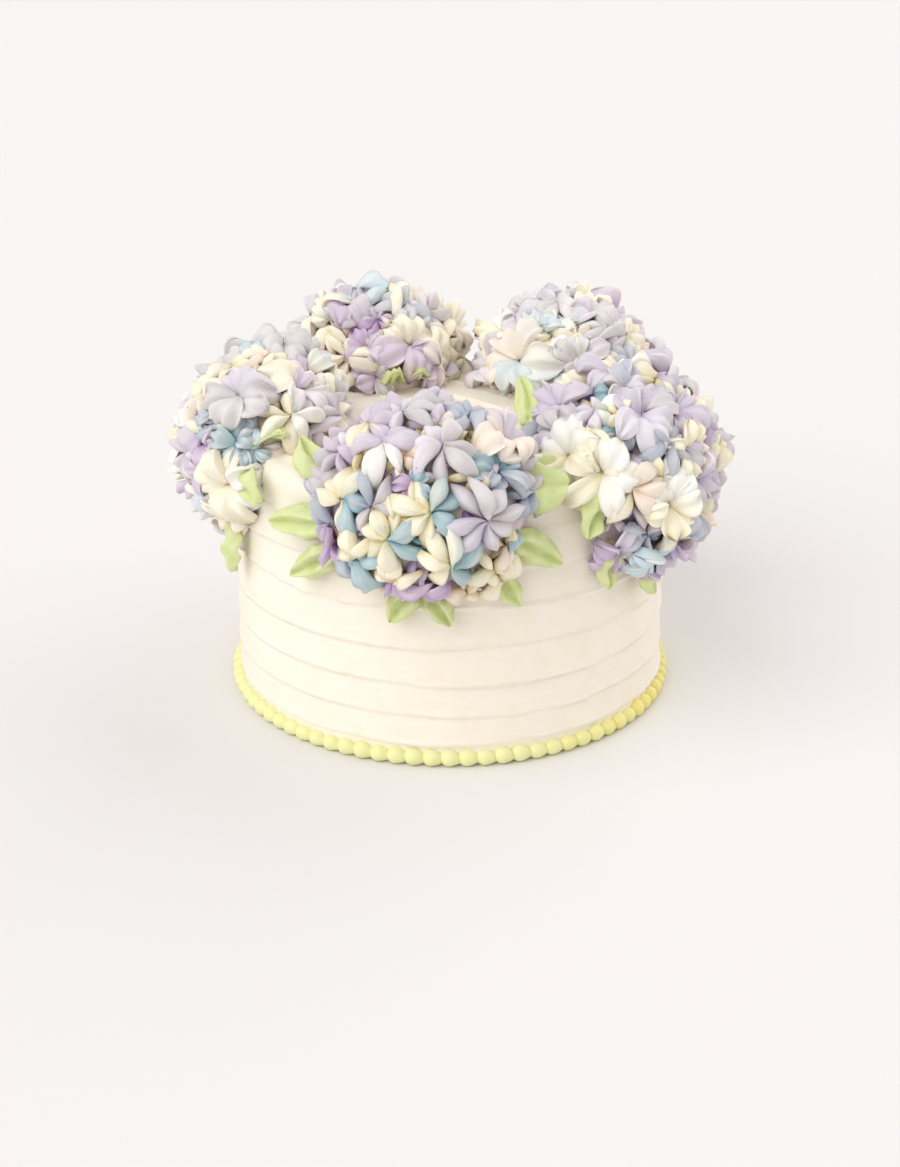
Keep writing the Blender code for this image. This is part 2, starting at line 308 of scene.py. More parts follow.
@dataclass(frozen=True)
class CakeColour(ColourRule):
    """Ivory icing with long level spatula streaks.

    Attributes:
        streak_scale: Scale of the streaks along X, Y and Z.
        warm_share: Greatest share of the warmer colour.
        streak_relief: Weight of the streaks in the relief.
        grain_relief: Weight of the grain in the relief.
    """

    streak_scale: tuple[float, float, float] = (28.0, 28.0, 620.0)
    warm_share: float = 0.5
    streak_relief: float = 0.9
    grain_relief: float = 0.4

    def sockets(self, tree: Tree, grain: bpy.types.Node) -> tuple[Socket, Socket]:
        """Builds the nodes, as the base class says."""
        streak = tree.noise(tree.stretch(tree.place(), self.streak_scale), 1.0, 4.0)
        warm = tree.math("MULTIPLY", tree.ramp(grain.outputs["Mottle"], 0.4, 0.75), self.warm_share)
        streaks = tree.math("MULTIPLY", streak, self.streak_relief)
        relief = tree.math("ADD", streaks, tree.math("MULTIPLY", grain.outputs["Height"], self.grain_relief))
        return tree.mix(warm, Tone.CAKE.rgba, Tone.CAKE_SHADE.rgba), relief


@dataclass(frozen=True)
class BeadColour(ColourRule):
    """Yellow-green icing that is yellower towards +X.

    Attributes:
        green_end: X up to which the beads are green.
        yellow_end: X from which they are yellow.
        unevenness: How far the mottle shifts that, in metres.
    """

    green_end: float = 0.03
    yellow_end: float = 0.085
    unevenness: float = 0.08

    def sockets(self, tree: Tree, grain: bpy.types.Node) -> tuple[Socket, Socket]:
        """Builds the nodes, as the base class says."""
        across = tree.add("ShaderNodeSeparateXYZ", None, {"Vector": tree.place()}).outputs["X"]
        shift = tree.math("MULTIPLY", tree.math("SUBTRACT", grain.outputs["Mottle"], 0.5), self.unevenness)
        share = tree.ramp(tree.math("ADD", across, shift), self.green_end, self.yellow_end)
        return tree.mix(share, Tone.BEAD_GREEN.rgba, Tone.BEAD_YELLOW.rgba), grain.outputs["Height"]


@dataclass(frozen=True)
class FlowerColour(ColourRule):
    """Each petal's own tone with streaks of its accent along it, and small air pits with painted shade in
    them.

    Attributes:
        streak_share: Greatest share of the accent.
        pit_shade_share: Share of the dark tone painted into a pit as shade.
        ridge_scale: Scale of the ridges across and along a petal.
        ridge_relief: Weight of the ridges in the relief.
    """

    streak_share: float = 0.3
    pit_shade_share: float = 0.5
    ridge_scale: tuple[float, float, float] = (5.0, 5.0, 0.8)
    ridge_relief: float = 1.6

    def sockets(self, tree: Tree, grain: bpy.types.Node) -> tuple[Socket, Socket]:
        """Builds the nodes, as the base class says."""
        flow = tree.attribute("flow", "Vector")
        streak = tree.noise(flow, 1.5, 2.0)
        share = tree.math("MULTIPLY", tree.ramp(streak, 0.5, 0.72), self.streak_share)
        mixed = tree.mix(share, tree.attribute("tone", "Color"), tree.attribute("accent", "Color"))
        # Painted shade: the small air pits are darkened towards deep purple.
        pits = tree.math("MULTIPLY", grain.outputs["Pits"], self.pit_shade_share)
        ridges = tree.noise(tree.stretch(flow, self.ridge_scale), 1.0, 1.0)
        lines = tree.math("ADD", streak, tree.math("MULTIPLY", ridges, self.ridge_relief))
        relief = tree.math("ADD", grain.outputs["Height"], lines)
        return tree.mix(pits, mixed, Tone.DEEP_PURPLE.rgba), relief


@dataclass(frozen=True)
class LeafColour(ColourRule):
    """Pistachio icing with painted shade along the crease, and small dark specks.

    Attributes:
        shade_share: Greatest share of the darker green away from the crease.
        speck_share: Share of the speck's tone in a speck.
    """

    shade_share: float = 0.5
    speck_share: float = 0.8

    def sockets(self, tree: Tree, grain: bpy.types.Node) -> tuple[Socket, Socket]:
        """Builds the nodes, as the base class says."""
        # Painted shade: the green is darker along the leaf's middle crease, where the groove lies.
        crease = tree.attribute("crease", "Fac")
        shade = tree.math("MULTIPLY", tree.ramp(grain.outputs["Mottle"], 0.35, 0.7), self.shade_share)
        green = tree.mix(tree.math("MAXIMUM", crease, shade), Tone.LEAF.rgba, Tone.LEAF_DARK.rgba)
        specks = tree.math("MULTIPLY", grain.outputs["Pits"], self.speck_share)
        return tree.mix(specks, green, Tone.SPECK.rgba), grain.outputs["Height"]


def paint_crease_shade(tone: Vector, amount: float) -> Vector:
    """Paints crease shade into a colour: darkens and warms it, as light does that is caught in a crease.

    Args:
        tone: The linear colour.
        amount: 0 leaves it as it is, 1 is the deepest painted shade.

    Returns:
        The linear colour.
    """
    # Painted crease shade: darken the colour and keep its strongest channel, so shaded ivory turns golden.
    least, richness, darkness = 0.58, 2.8, 0.42
    top = max(tone)
    shares = [max(least, (part / top) ** (richness * amount)) for part in tone]
    return Vector([part * share * (1 - darkness * amount) for part, share in zip(tone, shares)])


def as_mesh(name: str, bm: BMesh) -> bpy.types.Mesh:
    """Turns a bmesh into a mesh of triangles.

    Args:
        name: Name of the mesh.
        bm: The bmesh, which is freed.

    Returns:
        The mesh.
    """
    bmesh.ops.triangulate(bm, faces=bm.faces)
    mesh = bpy.data.meshes.new(name)
    bm.to_mesh(mesh)
    bm.free()
    return mesh


def in_scene(name: str, data: bpy.types.ID) -> bpy.types.Object:
    """Makes an object and links it to the scene.

    Args:
        name: Name of the object.
        data: Its mesh, light or camera.

    Returns:
        The object.
    """
    thing = bpy.data.objects.new(name, data)
    bpy.context.scene.collection.objects.link(thing)
    return thing


def unit_ball(round_steps: int, long_steps: int) -> bpy.types.Mesh:
    """Makes the unit sphere that petals and beads are shaped from.

    Args:
        round_steps: Divisions round its axis.
        long_steps: Divisions from pole to pole.

    Returns:
        The mesh, with the attributes tone, accent and flow.
    """
    bm = bmesh.new()
    bm.verts.layers.float_color.new("tone")
    bm.verts.layers.float_color.new("accent")
    bm.verts.layers.float_vector.new("flow")
    bmesh.ops.create_uvsphere(bm, u_segments=round_steps, v_segments=long_steps, radius=1.0)
    return as_mesh("unit_ball", bm)


def add_ball(bm: BMesh, ball: bpy.types.Mesh) -> list[bmesh.types.BMVert]:
    """Adds a unit sphere to a mesh.

    Args:
        bm: The mesh.
        ball: The sphere.

    Returns:
        The points of the added sphere.
    """
    first = len(bm.verts)
    bm.from_mesh(ball)
    bm.verts.ensure_lookup_table()
    return bm.verts[first:]


def colour_point(vert: bmesh.types.BMVert, layers: list[bmesh.types.BMLayerItem], tone: Vector,
                 accent: Vector, flow: Vector) -> None:
    """Writes a point's tone, accent and flow.

    Args:
        vert: The point.
        layers: The mesh's layers tone, accent and flow.
        tone: Linear colour.
        accent: Linear colour of the streaks.
        flow: Place in the pattern that runs along the petal.
    """
    for layer, value in zip(layers, ((*tone, 1.0), (*accent, 1.0), flow)):
        vert[layer] = value


def ball_layers(bm: BMesh) -> list[bmesh.types.BMLayerItem]:
    """Gives the layers tone, accent and flow of a mesh made from unit spheres."""
    layers = bm.verts.layers
    return [layers.float_color["tone"], layers.float_color["accent"], layers.float_vector["flow"]]


def add_piece(name: str, bm: BMesh, material: bpy.types.Material,
              nodes: tuple[str, ...]) -> bpy.types.Object:
    """Turns a bmesh into a smooth piece that stands for CAD nodes.

    Args:
        name: Name of the piece.
        bm: The mesh, which is freed.
        material: The piece's material.
        nodes: CAD nodes that the piece stands for.

    Returns:
        The piece.
    """
    mesh = as_mesh(name, bm)
    mesh.materials.append(material)
    mesh.shade_smooth()
    piece = in_scene(name, mesh)
    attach(piece, BODY)
    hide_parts(*nodes)
    LOG.info("%s: %d triangles", name, len(mesh.polygons))
    return piece


@dataclass
class CakeBody:
    """The round iced cake with spatula bands round its side.

    Attributes:
        radius: Radius of the side at the foot.
        height: Height of the top.
        taper: How much the side leans in towards the top.
        edge: Radius of the rounded top edge.
        steps: Divisions round the axis.
        top_points: Points of the outline across the top.
        edge_points: Points of the outline round the edge.
        side_points: Points of the outline down the side.
        ridges: Heights of the ridges between the bands.
        ridge_height: How far a ridge stands out.
        ridge_width: Half the width of a ridge.
        ridge_fade: Mean, spread and least share of a ridge's height along it.
        undercut: How much sharper a ridge ends below than above.
        band_lean: How far a band's lower edge stands out.
        band_share: Share of that lean which shows.
        band_span: Height over which it fades.
        wander: How far a ridge wanders up and down, slowly and quickly.
        side_unevenness: Height of the side's broad and fine unevenness.
        top_unevenness: Height of the top's brush lines and ridges.
        brush_centre: Point that the brush lines on the top run round.
    """

    radius: float = CAKE_RADIUS
    height: float = CAKE_HEIGHT
    taper: float = 0.0012
    edge: float = CAKE_EDGE
    steps: int = 240
    top_points: int = 56
    edge_points: int = 8
    side_points: int = 120
    ridges: tuple[float, ...] = (0.0077, 0.0189, 0.0312, 0.0451, 0.0595, 0.0735, 0.0868)
    ridge_height: float = 0.0010
    ridge_width: float = 0.0008
    ridge_fade: tuple[float, float, float] = (0.55, 0.9, 0.12)
    undercut: float = 2.5
    band_lean: float = 0.0009
    band_share: float = 0.8
    band_span: float = 0.0135
    wander: tuple[float, float] = (0.0016, 0.0006)
    side_unevenness: tuple[float, float] = (0.0003, 0.00007)
    top_unevenness: tuple[float, float] = (0.0003, 0.0009)
    brush_centre: tuple[float, float] = (-0.035, -0.02)

    def outline(self) -> list[tuple[float, float]]:
        """Lists the points of the outline.

        Returns:
            Radius and height of each point, from the top's centre to the underside's centre.
        """
        upper = self.radius - self.taper
        flat = upper - self.edge
        points = [(flat * step / self.top_points, self.height) for step in range(self.top_points)]
        for step in range(self.edge_points + 1):
            angle = math.pi / 2 * step / self.edge_points
            out, down = self.edge * math.sin(angle), self.edge * (1 - math.cos(angle))
            points.append((flat + out, self.height - down))
        wall = self.height - self.edge
        for step in range(1, self.side_points + 1):
            level = wall * (1 - step / self.side_points)
            points.append((upper + self.taper * (1 - level / wall), level))
        return [*points, (self.radius * 0.5, 0.0), (0.0, 0.0)]

    def side_relief(self, bearing: float, level: float) -> float:
        """Gives how far the side stands out.

        Args:
            bearing: Angle about the axis in radians.
            level: Height above the foot.

        Returns:
            The distance outwards.
        """
        ring = Vector((math.cos(bearing), math.sin(bearing), 0.0))
        slow, quick = self.wander
        mean, spread, least = self.ridge_fade
        total = 0.0
        below = 0.0
        for index, ridge in enumerate(self.ridges):
            shift = Vector((0.0, 0.0, index * 3.7))
            centre = ridge + slow * noise.noise(ring * 1.3 + shift) + quick * noise.noise(ring * 5 + shift)
            off = (level - centre) / self.ridge_width
            fade = mean + spread * noise.noise(ring * 2.4 - shift)
            crisp = math.exp(-off * off * (1.0 if off > 0 else self.undercut))
            total += self.ridge_height * max(least, fade) * crisp
            if level > centre:
                below = max(below, centre)
        total += self.band_lean * max(0.0, 1 - (level - below) / self.band_span) * self.band_share
        broad, fine = self.side_unevenness
        total += broad * noise.noise(Vector((ring.x * 3, ring.y * 3, level * 45)))
        return total + fine * noise.noise(Vector((ring.x * 4, ring.y * 4, level * 700)))

    def top_relief(self, place: Vector) -> float:
        """Gives how far the top stands up.

        Args:
            place: Point on the top.

        Returns:
            The distance upwards.
        """
        centre_x, centre_y = self.brush_centre
        sweep = Vector((place.x - centre_x, place.y - centre_y))
        reach = sweep.length
        turn = math.atan2(sweep.y, sweep.x)
        stroke_height, ridge_height = self.top_unevenness
        stroke = noise.noise(Vector((reach * 170, turn * 1.6, 3.0)))
        ridge = 1 - abs(noise.noise(Vector((reach * 62, turn * 0.9, 9.0)))) * 6
        return stroke_height * stroke + ridge_height * max(0.0, ridge)

    def build(self, material: bpy.types.Material) -> bpy.types.Object:
        """Spins the outline and works the relief into it.

        Args:
            material: The icing.

        Returns:
            The piece.
        """
        bm = bmesh.new()
        verts = [bm.verts.new((reach, 0.0, level)) for reach, level in self.outline()]
        edges = [bm.edges.new(pair) for pair in zip(verts, verts[1:])]
        bmesh.ops.spin(bm, geom=verts + edges, axis=(0, 0, 1), cent=(0, 0, 0), angle=math.tau,
                       steps=self.steps, use_merge=True)
        bmesh.ops.remove_doubles(bm, verts=bm.verts, dist=SAME_POINT)
        flat = self.radius - self.taper - self.edge
        wall = self.height - self.edge
        for vert in bm.verts:
            reach = math.hypot(vert.co.x, vert.co.y)
            bearing = math.atan2(vert.co.y, vert.co.x)
            if vert.co.z > wall:
                share = ease(reach, flat + self.edge * 0.7, flat)
                vert.co.z += self.top_relief(vert.co) * share
            if reach > flat and 0.0 < vert.co.z:
                share = ease(vert.co.z, 0.0, 0.002) * ease(vert.co.z, self.height, wall)
                grown = reach + self.side_relief(bearing, vert.co.z) * share
                vert.co.x, vert.co.y = grown * math.cos(bearing), grown * math.sin(bearing)
        bmesh.ops.recalc_face_normals(bm, faces=bm.faces)
        return add_piece("iced_body", bm, material, ("cake_body",))


@dataclass
class BeadBorder:
    """The row of piped beads round the cake's foot.

    Attributes:
        count: Number of beads.
        reach: Distance of the beads' middles from the axis.
        radius: Radius of a bead.
        wall: Distance from the axis at which the beads meet the cake.
        overlap: Length of a bead as a share of the pitch.
        spread: How much the beads differ in size.
        tilt: Greatest lean of a bead outwards or inwards.
        head_end: Share of a bead's length at which it is thickest.
        belly: Power that moves the thickest part towards the head.
        fullness: Power that makes the bead blunter where it is lower.
        squash: Half the height as a share of the radius.
        seat: Height of a bead's middle as a share of its radius.
        tail_drop: Fall of the tail as a share of the radius.
        seed: Seed of the random draws.
    """

    count: int = 82
    reach: float = 0.0833
    radius: float = 0.0033
    wall: float = 0.0826
    overlap: float = 1.42
    spread: float = 0.06
    tilt: float = 0.12
    head_end: float = 0.42
    belly: float = 0.72
    fullness: float = 0.82
    squash: float = 0.95
    seat: float = 0.92
    tail_drop: float = 0.25
    seed: int = 31

    def shape_bead(self, verts: list[bmesh.types.BMVert], bearing: float, draw: random.Random) -> None:
        """Shapes a small sphere into a bead with a tail that runs under the next one.

        Args:
            verts: The sphere's points.
            bearing: Angle of the bead about the axis in radians, from +X.
            draw: Source of the random draws.
        """
        size = self.radius * (1 + draw.uniform(-self.spread, self.spread))
        length = math.tau * self.reach / self.count * self.overlap
        tilt = draw.uniform(-self.tilt, self.tilt)
        for vert in verts:
            way = vert.co.normalized()
            share = math.acos(max(-1.0, min(1.0, way.z))) / math.pi
            round_way = Vector((way.x, way.y)).normalized() if share not in (0.0, 1.0) else Vector((0.0, 0.0))
            girth = size * math.sin(math.pi * share ** self.belly) ** self.fullness
            along = length * (share - self.head_end)
            turn = bearing + along / self.reach
            outward = max(self.reach + girth * round_way.y + tilt * along * 0.3, self.wall)
            level = size * self.seat + girth * round_way.x * self.squash
            level -= size * self.tail_drop * ease(share, 0.5, 1.0)
            vert.co = Vector((outward * math.cos(turn), outward * math.sin(turn), max(level, 0.0)))

    def build(self, material: bpy.types.Material) -> bpy.types.Object:
        """Pipes the row of beads.

        Args:
            material: The icing.

        Returns:
            The piece.
        """
        draw = random.Random(self.seed)
        ball = unit_ball(16, 12)
        bm = bmesh.new()
        for index in range(self.count):
            bearing = (index + 0.5) * math.tau / self.count
            self.shape_bead(add_ball(bm, ball), bearing, draw)
        bmesh.ops.recalc_face_normals(bm, faces=bm.faces)
        return add_piece("bead_row", bm, material, ("bead_border",))


@dataclass(frozen=True)
class PetalShape:
    """Sizes of a piped petal as shares of its flower's radius.

    Attributes:
        width: Half the width.
        thickness: Half the thickness.
        belly: Power that moves the widest part towards the tip.
        fullness: Power that makes the outline blunter where it is lower.
        peak: Rise of the pinched centre.
        arch: Rise of the middle line.
        crest: Share of half a wave that the middle line follows.
        droop: Fall of the tip.
        keel: Rise of the ridge along the top.
        cup: Rise of the edges.
        frill: Height of the pleats, which grow towards the tip.
        twist: Turn about its length from root to tip, in radians.
        rim: Share of pale icing along the edges.
        round_steps: Divisions round the petal.
        pleats: Turn of the pleats' wave from the middle to an edge, in radians.
    """

    width: float
    thickness: float
    belly: float
    fullness: float
    peak: float
    arch: float
    crest: float
    droop: float
    keel: float
    cup: float
    frill: float
    twist: float
    rim: float
    round_steps: int
    pleats: float = 6.2


PETALS = {
    Style.STAR: PetalShape(width=0.21, thickness=0.16, belly=1.4, fullness=0.62, peak=0.55, arch=0.44,
                           crest=0.84, droop=0.34, keel=0.17, cup=0.0, frill=0.03, twist=0.5, rim=0.0,
                           round_steps=16),
    Style.RUFFLE: PetalShape(width=0.4, thickness=0.12, belly=1.6, fullness=0.45, peak=0.3, arch=0.5,
                             crest=0.74, droop=0.2, keel=0.12, cup=0.15, frill=0.16, twist=0.4, rim=0.35,
                             round_steps=28),
}


@dataclass(frozen=True)
class Jitter:
    """Ranges of the random draws for each petal.

    Attributes:
        length: Share of the usual length.
        width: Share of the usual width.
        height: Share of the usual rise.
        roll: Lean about its length, in radians.
        twist: Share of its shape's twist.
        curl: Sideways turn of its tip, in radians.
        dip: Fall of its tip as a share of the flower's radius.
        mark: Place in the pattern of the streaks.
        shade: Share of its tone's brightness.
    """

    length: tuple[float, float] = (0.8, 1.18)
    width: tuple[float, float] = (0.8, 1.2)
    height: tuple[float, float] = (0.75, 1.25)
    roll: tuple[float, float] = (-0.5, 0.5)
    twist: tuple[float, float] = (-1, 1)
    curl: tuple[float, float] = (-0.3, 0.45)
    dip: tuple[float, float] = (-0.3, 0.35)
    mark: tuple[float, float] = (0, 50)
    shade: tuple[float, float] = (0.95, 1.03)


JITTER = Jitter()


@dataclass(frozen=True)
class Bloom:
    """One piped flower on a head.

    Attributes:
        elevation: Elevation from the head's centre in degrees.
        bearing: Bearing from the head's centre in degrees.
        size: Size as a share of the usual flower.
        style: How its petals are piped.
        tone: Main colour.
        second: Second colour.
        side: Side of the second colour in the view, in degrees from right towards up.
        petals: Number of petals.
    """

    elevation: float
    bearing: float
    size: float
    style: Style
    tone: Tone
    second: Tone
    side: float
    petals: int


def read_blooms(table: str) -> tuple[Bloom, ...]:
    """Reads a table of flowers, one to a line.

    Args:
        table: Lines with elevation, bearing, size, style, tone, second tone, side and petals.

    Returns:
        The flowers.
    """
    blooms = []
    for line in table.strip().splitlines():
        elevation, bearing, size, style, tone, second, side, petals = line.split()
        blooms.append(Bloom(float(elevation), float(bearing), float(size), Style(style), Tone[tone],
                            Tone[second], float(side), int(petals)))
    return tuple(blooms)


FRONT_BLOOMS = read_blooms("""
51 16 1.12 star GREY PALE_LILAC 140 6
48 -41 1.00 star LILAC WHITE -90 6
34 -82 0.90 star LILAC PALE_LILAC 60 5
76 -60 0.92 star PALE_LILAC GREY 0 5
46 -19 0.72 star IVORY CREAM 0 5
56 170 0.95 star LILAC GREY 0 6
58 -125 0.90 star GREY LILAC 0 6
56 115 0.90 star LILAC IVORY 0 6
18 1 1.15 star IVORY BLUE -5 6
11 34 1.15 star GREY LILAC -150 7
16 -53 1.00 star IVORY BLUE -20 6
-1 -21 1.08 star IVORY BLUE -15 6
-16 -43 0.95 star IVORY BLUE -60 6
-12 13 1.05 star IVORY BLUE -5 6
-20 42 0.74 star IVORY CREAM 90 5
-18 -77 0.78 ruffle PURPLE BLUE 30 4
-4 -50 0.56 ruffle PURPLE LILAC 0 3
30 54 0.82 ruffle BLUE SLATE -90 4
32 36 0.72 star IVORY CREAM 0 5
41 73 1.00 ruffle CREAM LILAC 60 5
30 -9 0.60 ruffle BLUE PURPLE 180 3
-19 79 0.90 ruffle GREY LILAC 0 4
-16 55 0.62 ruffle BLUE PALE_BLUE 0 3
-27 -20 0.85 star IVORY PURPLE -90 6
-39 -5 0.76 ruffle PURPLE LILAC 90 4
-44 33 0.74 star CREAM IVORY 0 5
-42 -40 0.66 star IVORY WHITE 0 5
""")
RIGHT_BLOOMS = read_blooms("""
81 -121 0.90 ruffle LILAC SLATE 0 4
74 177 0.90 ruffle IVORY WHITE 0 4
78 -10 0.80 ruffle GREY PALE_LILAC 0 4
65 -61 0.60 ruffle DEEP_PURPLE BLUE 0 3
48 -68 1.00 ruffle LILAC GREY -60 5
46 -51 0.85 star GREY PALE_LILAC 0 5
50 -30 0.85 star PALE_LILAC WHITE 0 5
52 -9 0.70 star IVORY CREAM 0 5
50 8 1.05 ruffle LILAC PALE_LILAC -90 4
42 -10 0.70 ruffle BLUE SLATE 0 3
61 38 0.85 star GREY SLATE 0 5
52 48 0.90 ruffle GREY LILAC 0 5
31 24 0.95 star SLATE GREY 0 5
28 41 0.90 ruffle IVORY CREAM 0 4
24 57 0.85 ruffle LILAC GREY 0 4
9 48 0.95 ruffle GREY LILAC 0 4
-11 43 0.80 ruffle SLATE GREY 0 3
-47 56 0.80 ruffle PURPLE LILAC 0 4
-56 43 0.85 ruffle PURPLE LILAC 0 4
23 -35 1.20 ruffle IVORY WHITE 100 5
19 -16 1.12 ruffle IVORY WHITE 0 5
9 0 1.10 star IVORY CREAM 0 6
17 14 0.85 star IVORY WHITE 0 6
-2 22 1.10 ruffle IVORY WHITE 90 5
-33 17 1.00 ruffle PALE_BLUE IVORY 100 4
-2 -20 1.00 ruffle PURPLE IVORY -90 5
-25 -8 0.90 ruffle PURPLE LILAC 0 4
""")
BACK_RIGHT_BLOOMS = read_blooms("""
65 -123 1.00 ruffle LILAC PALE_LILAC -90 4
75 -158 0.80 ruffle SLATE GREY 0 4
78 -30 0.95 star GREY PALE_LILAC 0 5
72 132 0.90 ruffle IVORY CREAM 0 4
70 46 0.90 ruffle LILAC GREY 0 4
38 -103 1.05 ruffle IVORY WHITE 90 4
52 -110 0.50 ruffle BLUE PALE_BLUE 0 3
53 -44 0.75 ruffle PALE_BLUE BLUE 0 3
59 -10 0.65 ruffle PALE_BLUE BLUE 0 3
51 -23 0.95 ruffle IVORY WHITE 0 5
52 4 0.80 star IVORY CREAM 0 5
28 -41 1.30 ruffle CREAM PALE_BLUE -80 5
27 -11 0.80 ruffle SLATE GREY 0 3
33 8 0.90 ruffle GREY LILAC 0 4
52 33 0.90 star GREY LILAC 0 5
45 47 0.90 star GREY IVORY 0 5
36 62 0.85 ruffle IVORY CREAM 0 4
28 91 0.90 ruffle GREY LILAC 0 4
""")
BACK_LEFT_BLOOMS = read_blooms("""
79 51 1.15 star IVORY PALE_BLUE 150 5
64 -44 0.95 ruffle PURPLE LILAC 0 5
51 -67 0.95 ruffle IVORY SLATE -30 4
76 156 0.90 ruffle GREY PURPLE 180 4
52 74 1.00 star PALE_LILAC GREY 0 6
31 98 0.95 ruffle IVORY CREAM 0 4
33 31 1.15 ruffle IVORY PURPLE -90 5
24 43 0.95 ruffle PURPLE IVORY 0 4
24 -18 1.00 star IVORY CREAM -90 5
32 -5 0.80 ruffle PURPLE LILAC 0 4
13 1 0.80 ruffle PURPLE GREY 0 4
""")
LEFT_BLOOMS = read_blooms("""
73 -143 0.85 ruffle BLUE PALE_BLUE 90 4
62 -114 0.95 ruffle GREY PALE_BLUE -60 4
72 151 1.15 star GREY PALE_LILAC -120 7
63 24 0.70 ruffle PURPLE DEEP_PURPLE 0 3
56 66 0.85 ruffle PURPLE IVORY 0 4
47 -15 1.10 ruffle GREY LILAC 90 5
53 35 1.10 ruffle IVORY PALE_LILAC -60 5
32 20 1.00 star IVORY WHITE 0 6
30 55 0.95 star LILAC IVORY 0 5
19 -14 0.85 ruffle BLUE SLATE 0 4
16 -3 0.60 ruffle BLUE PALE_BLUE 0 3
44 -57 1.00 star IVORY CREAM -90 5
23 -47 0.70 ruffle PURPLE BLUE 0 4
12 -38 0.62 ruffle PURPLE LILAC 0 4
-3 -38 0.72 ruffle PURPLE BLUE 0 4
-15 -55 0.80 ruffle PURPLE PALE_BLUE 0 4
-5 -14 1.20 ruffle IVORY WHITE 0 5
-33 -26 0.95 ruffle IVORY CREAM 0 5
""")


@dataclass(frozen=True)
class Head:
    """Place and size of a flower head, a pillow that laps over the rim.

    Attributes:
        name: Name of the head's CAD node.
        bearing: Bearing of its centre.
        reach: Distance of its centre from the axis.
        height: Height of its centre.
        outward: Half its size away from the axis.
        along: Half its size along the rim.
        upward: Half its size upwards.
        firsts: Bearing of the first flower of each ring.
        seed: Seed of the random draws.
        wash: Share of white in its tones.
        blooms: Flowers that the photograph shows.
    """

    name: str
    bearing: float
    reach: float
    height: float
    outward: float
    along: float
    upward: float
    firsts: tuple[float, ...]
    seed: int
    wash: float
    blooms: tuple[Bloom, ...]


RING_PAIRS = ((Tone.IVORY, Tone.WHITE), (Tone.LILAC, Tone.PALE_LILAC), (Tone.IVORY, Tone.BLUE),
              (Tone.GREY, Tone.LILAC), (Tone.PURPLE, Tone.LILAC), (Tone.IVORY, Tone.CREAM))
GAP_PAIRS = ((Tone.LILAC, Tone.GREY), (Tone.GREY, Tone.SLATE), (Tone.IVORY, Tone.CREAM),
             (Tone.IVORY, Tone.LILAC), (Tone.PURPLE, Tone.LILAC), (Tone.SLATE, Tone.GREY))
FILLER_TONES = (Tone.PURPLE, Tone.IVORY, Tone.LILAC, Tone.BLUE, Tone.GREY, Tone.CREAM, Tone.IVORY, Tone.IVORY)
HEADS = (
    Head("hydrangea_front", -6, 0.071, 0.0945, 0.0385, 0.0425, 0.0385,
         (-60, 16, -2, 12, -3), 11, 0.12, FRONT_BLOOMS),
    Head("hydrangea_right", 61, 0.070, 0.0930, 0.0380, 0.0450, 0.0405,
         (-120, 0, 5, -18, 17), 12, 0.1, RIGHT_BLOOMS),
    Head("hydrangea_back_right", 139, 0.073, 0.0980, 0.0385, 0.0415, 0.0405,
         (-30, -14, -41, 140, 140), 13, 0.36, BACK_RIGHT_BLOOMS),
    Head("hydrangea_back_left", -156, 0.075, 0.1000, 0.0385, 0.0410, 0.0405,
         (51, 14, -10, -155, -155), 14, 0.28, BACK_LEFT_BLOOMS),
    Head("hydrangea_left", -84, 0.068, 0.0940, 0.0360, 0.0430, 0.0400,
         (-120, -15, -10, -14, -26), 15, 0.3, LEFT_BLOOMS),
)


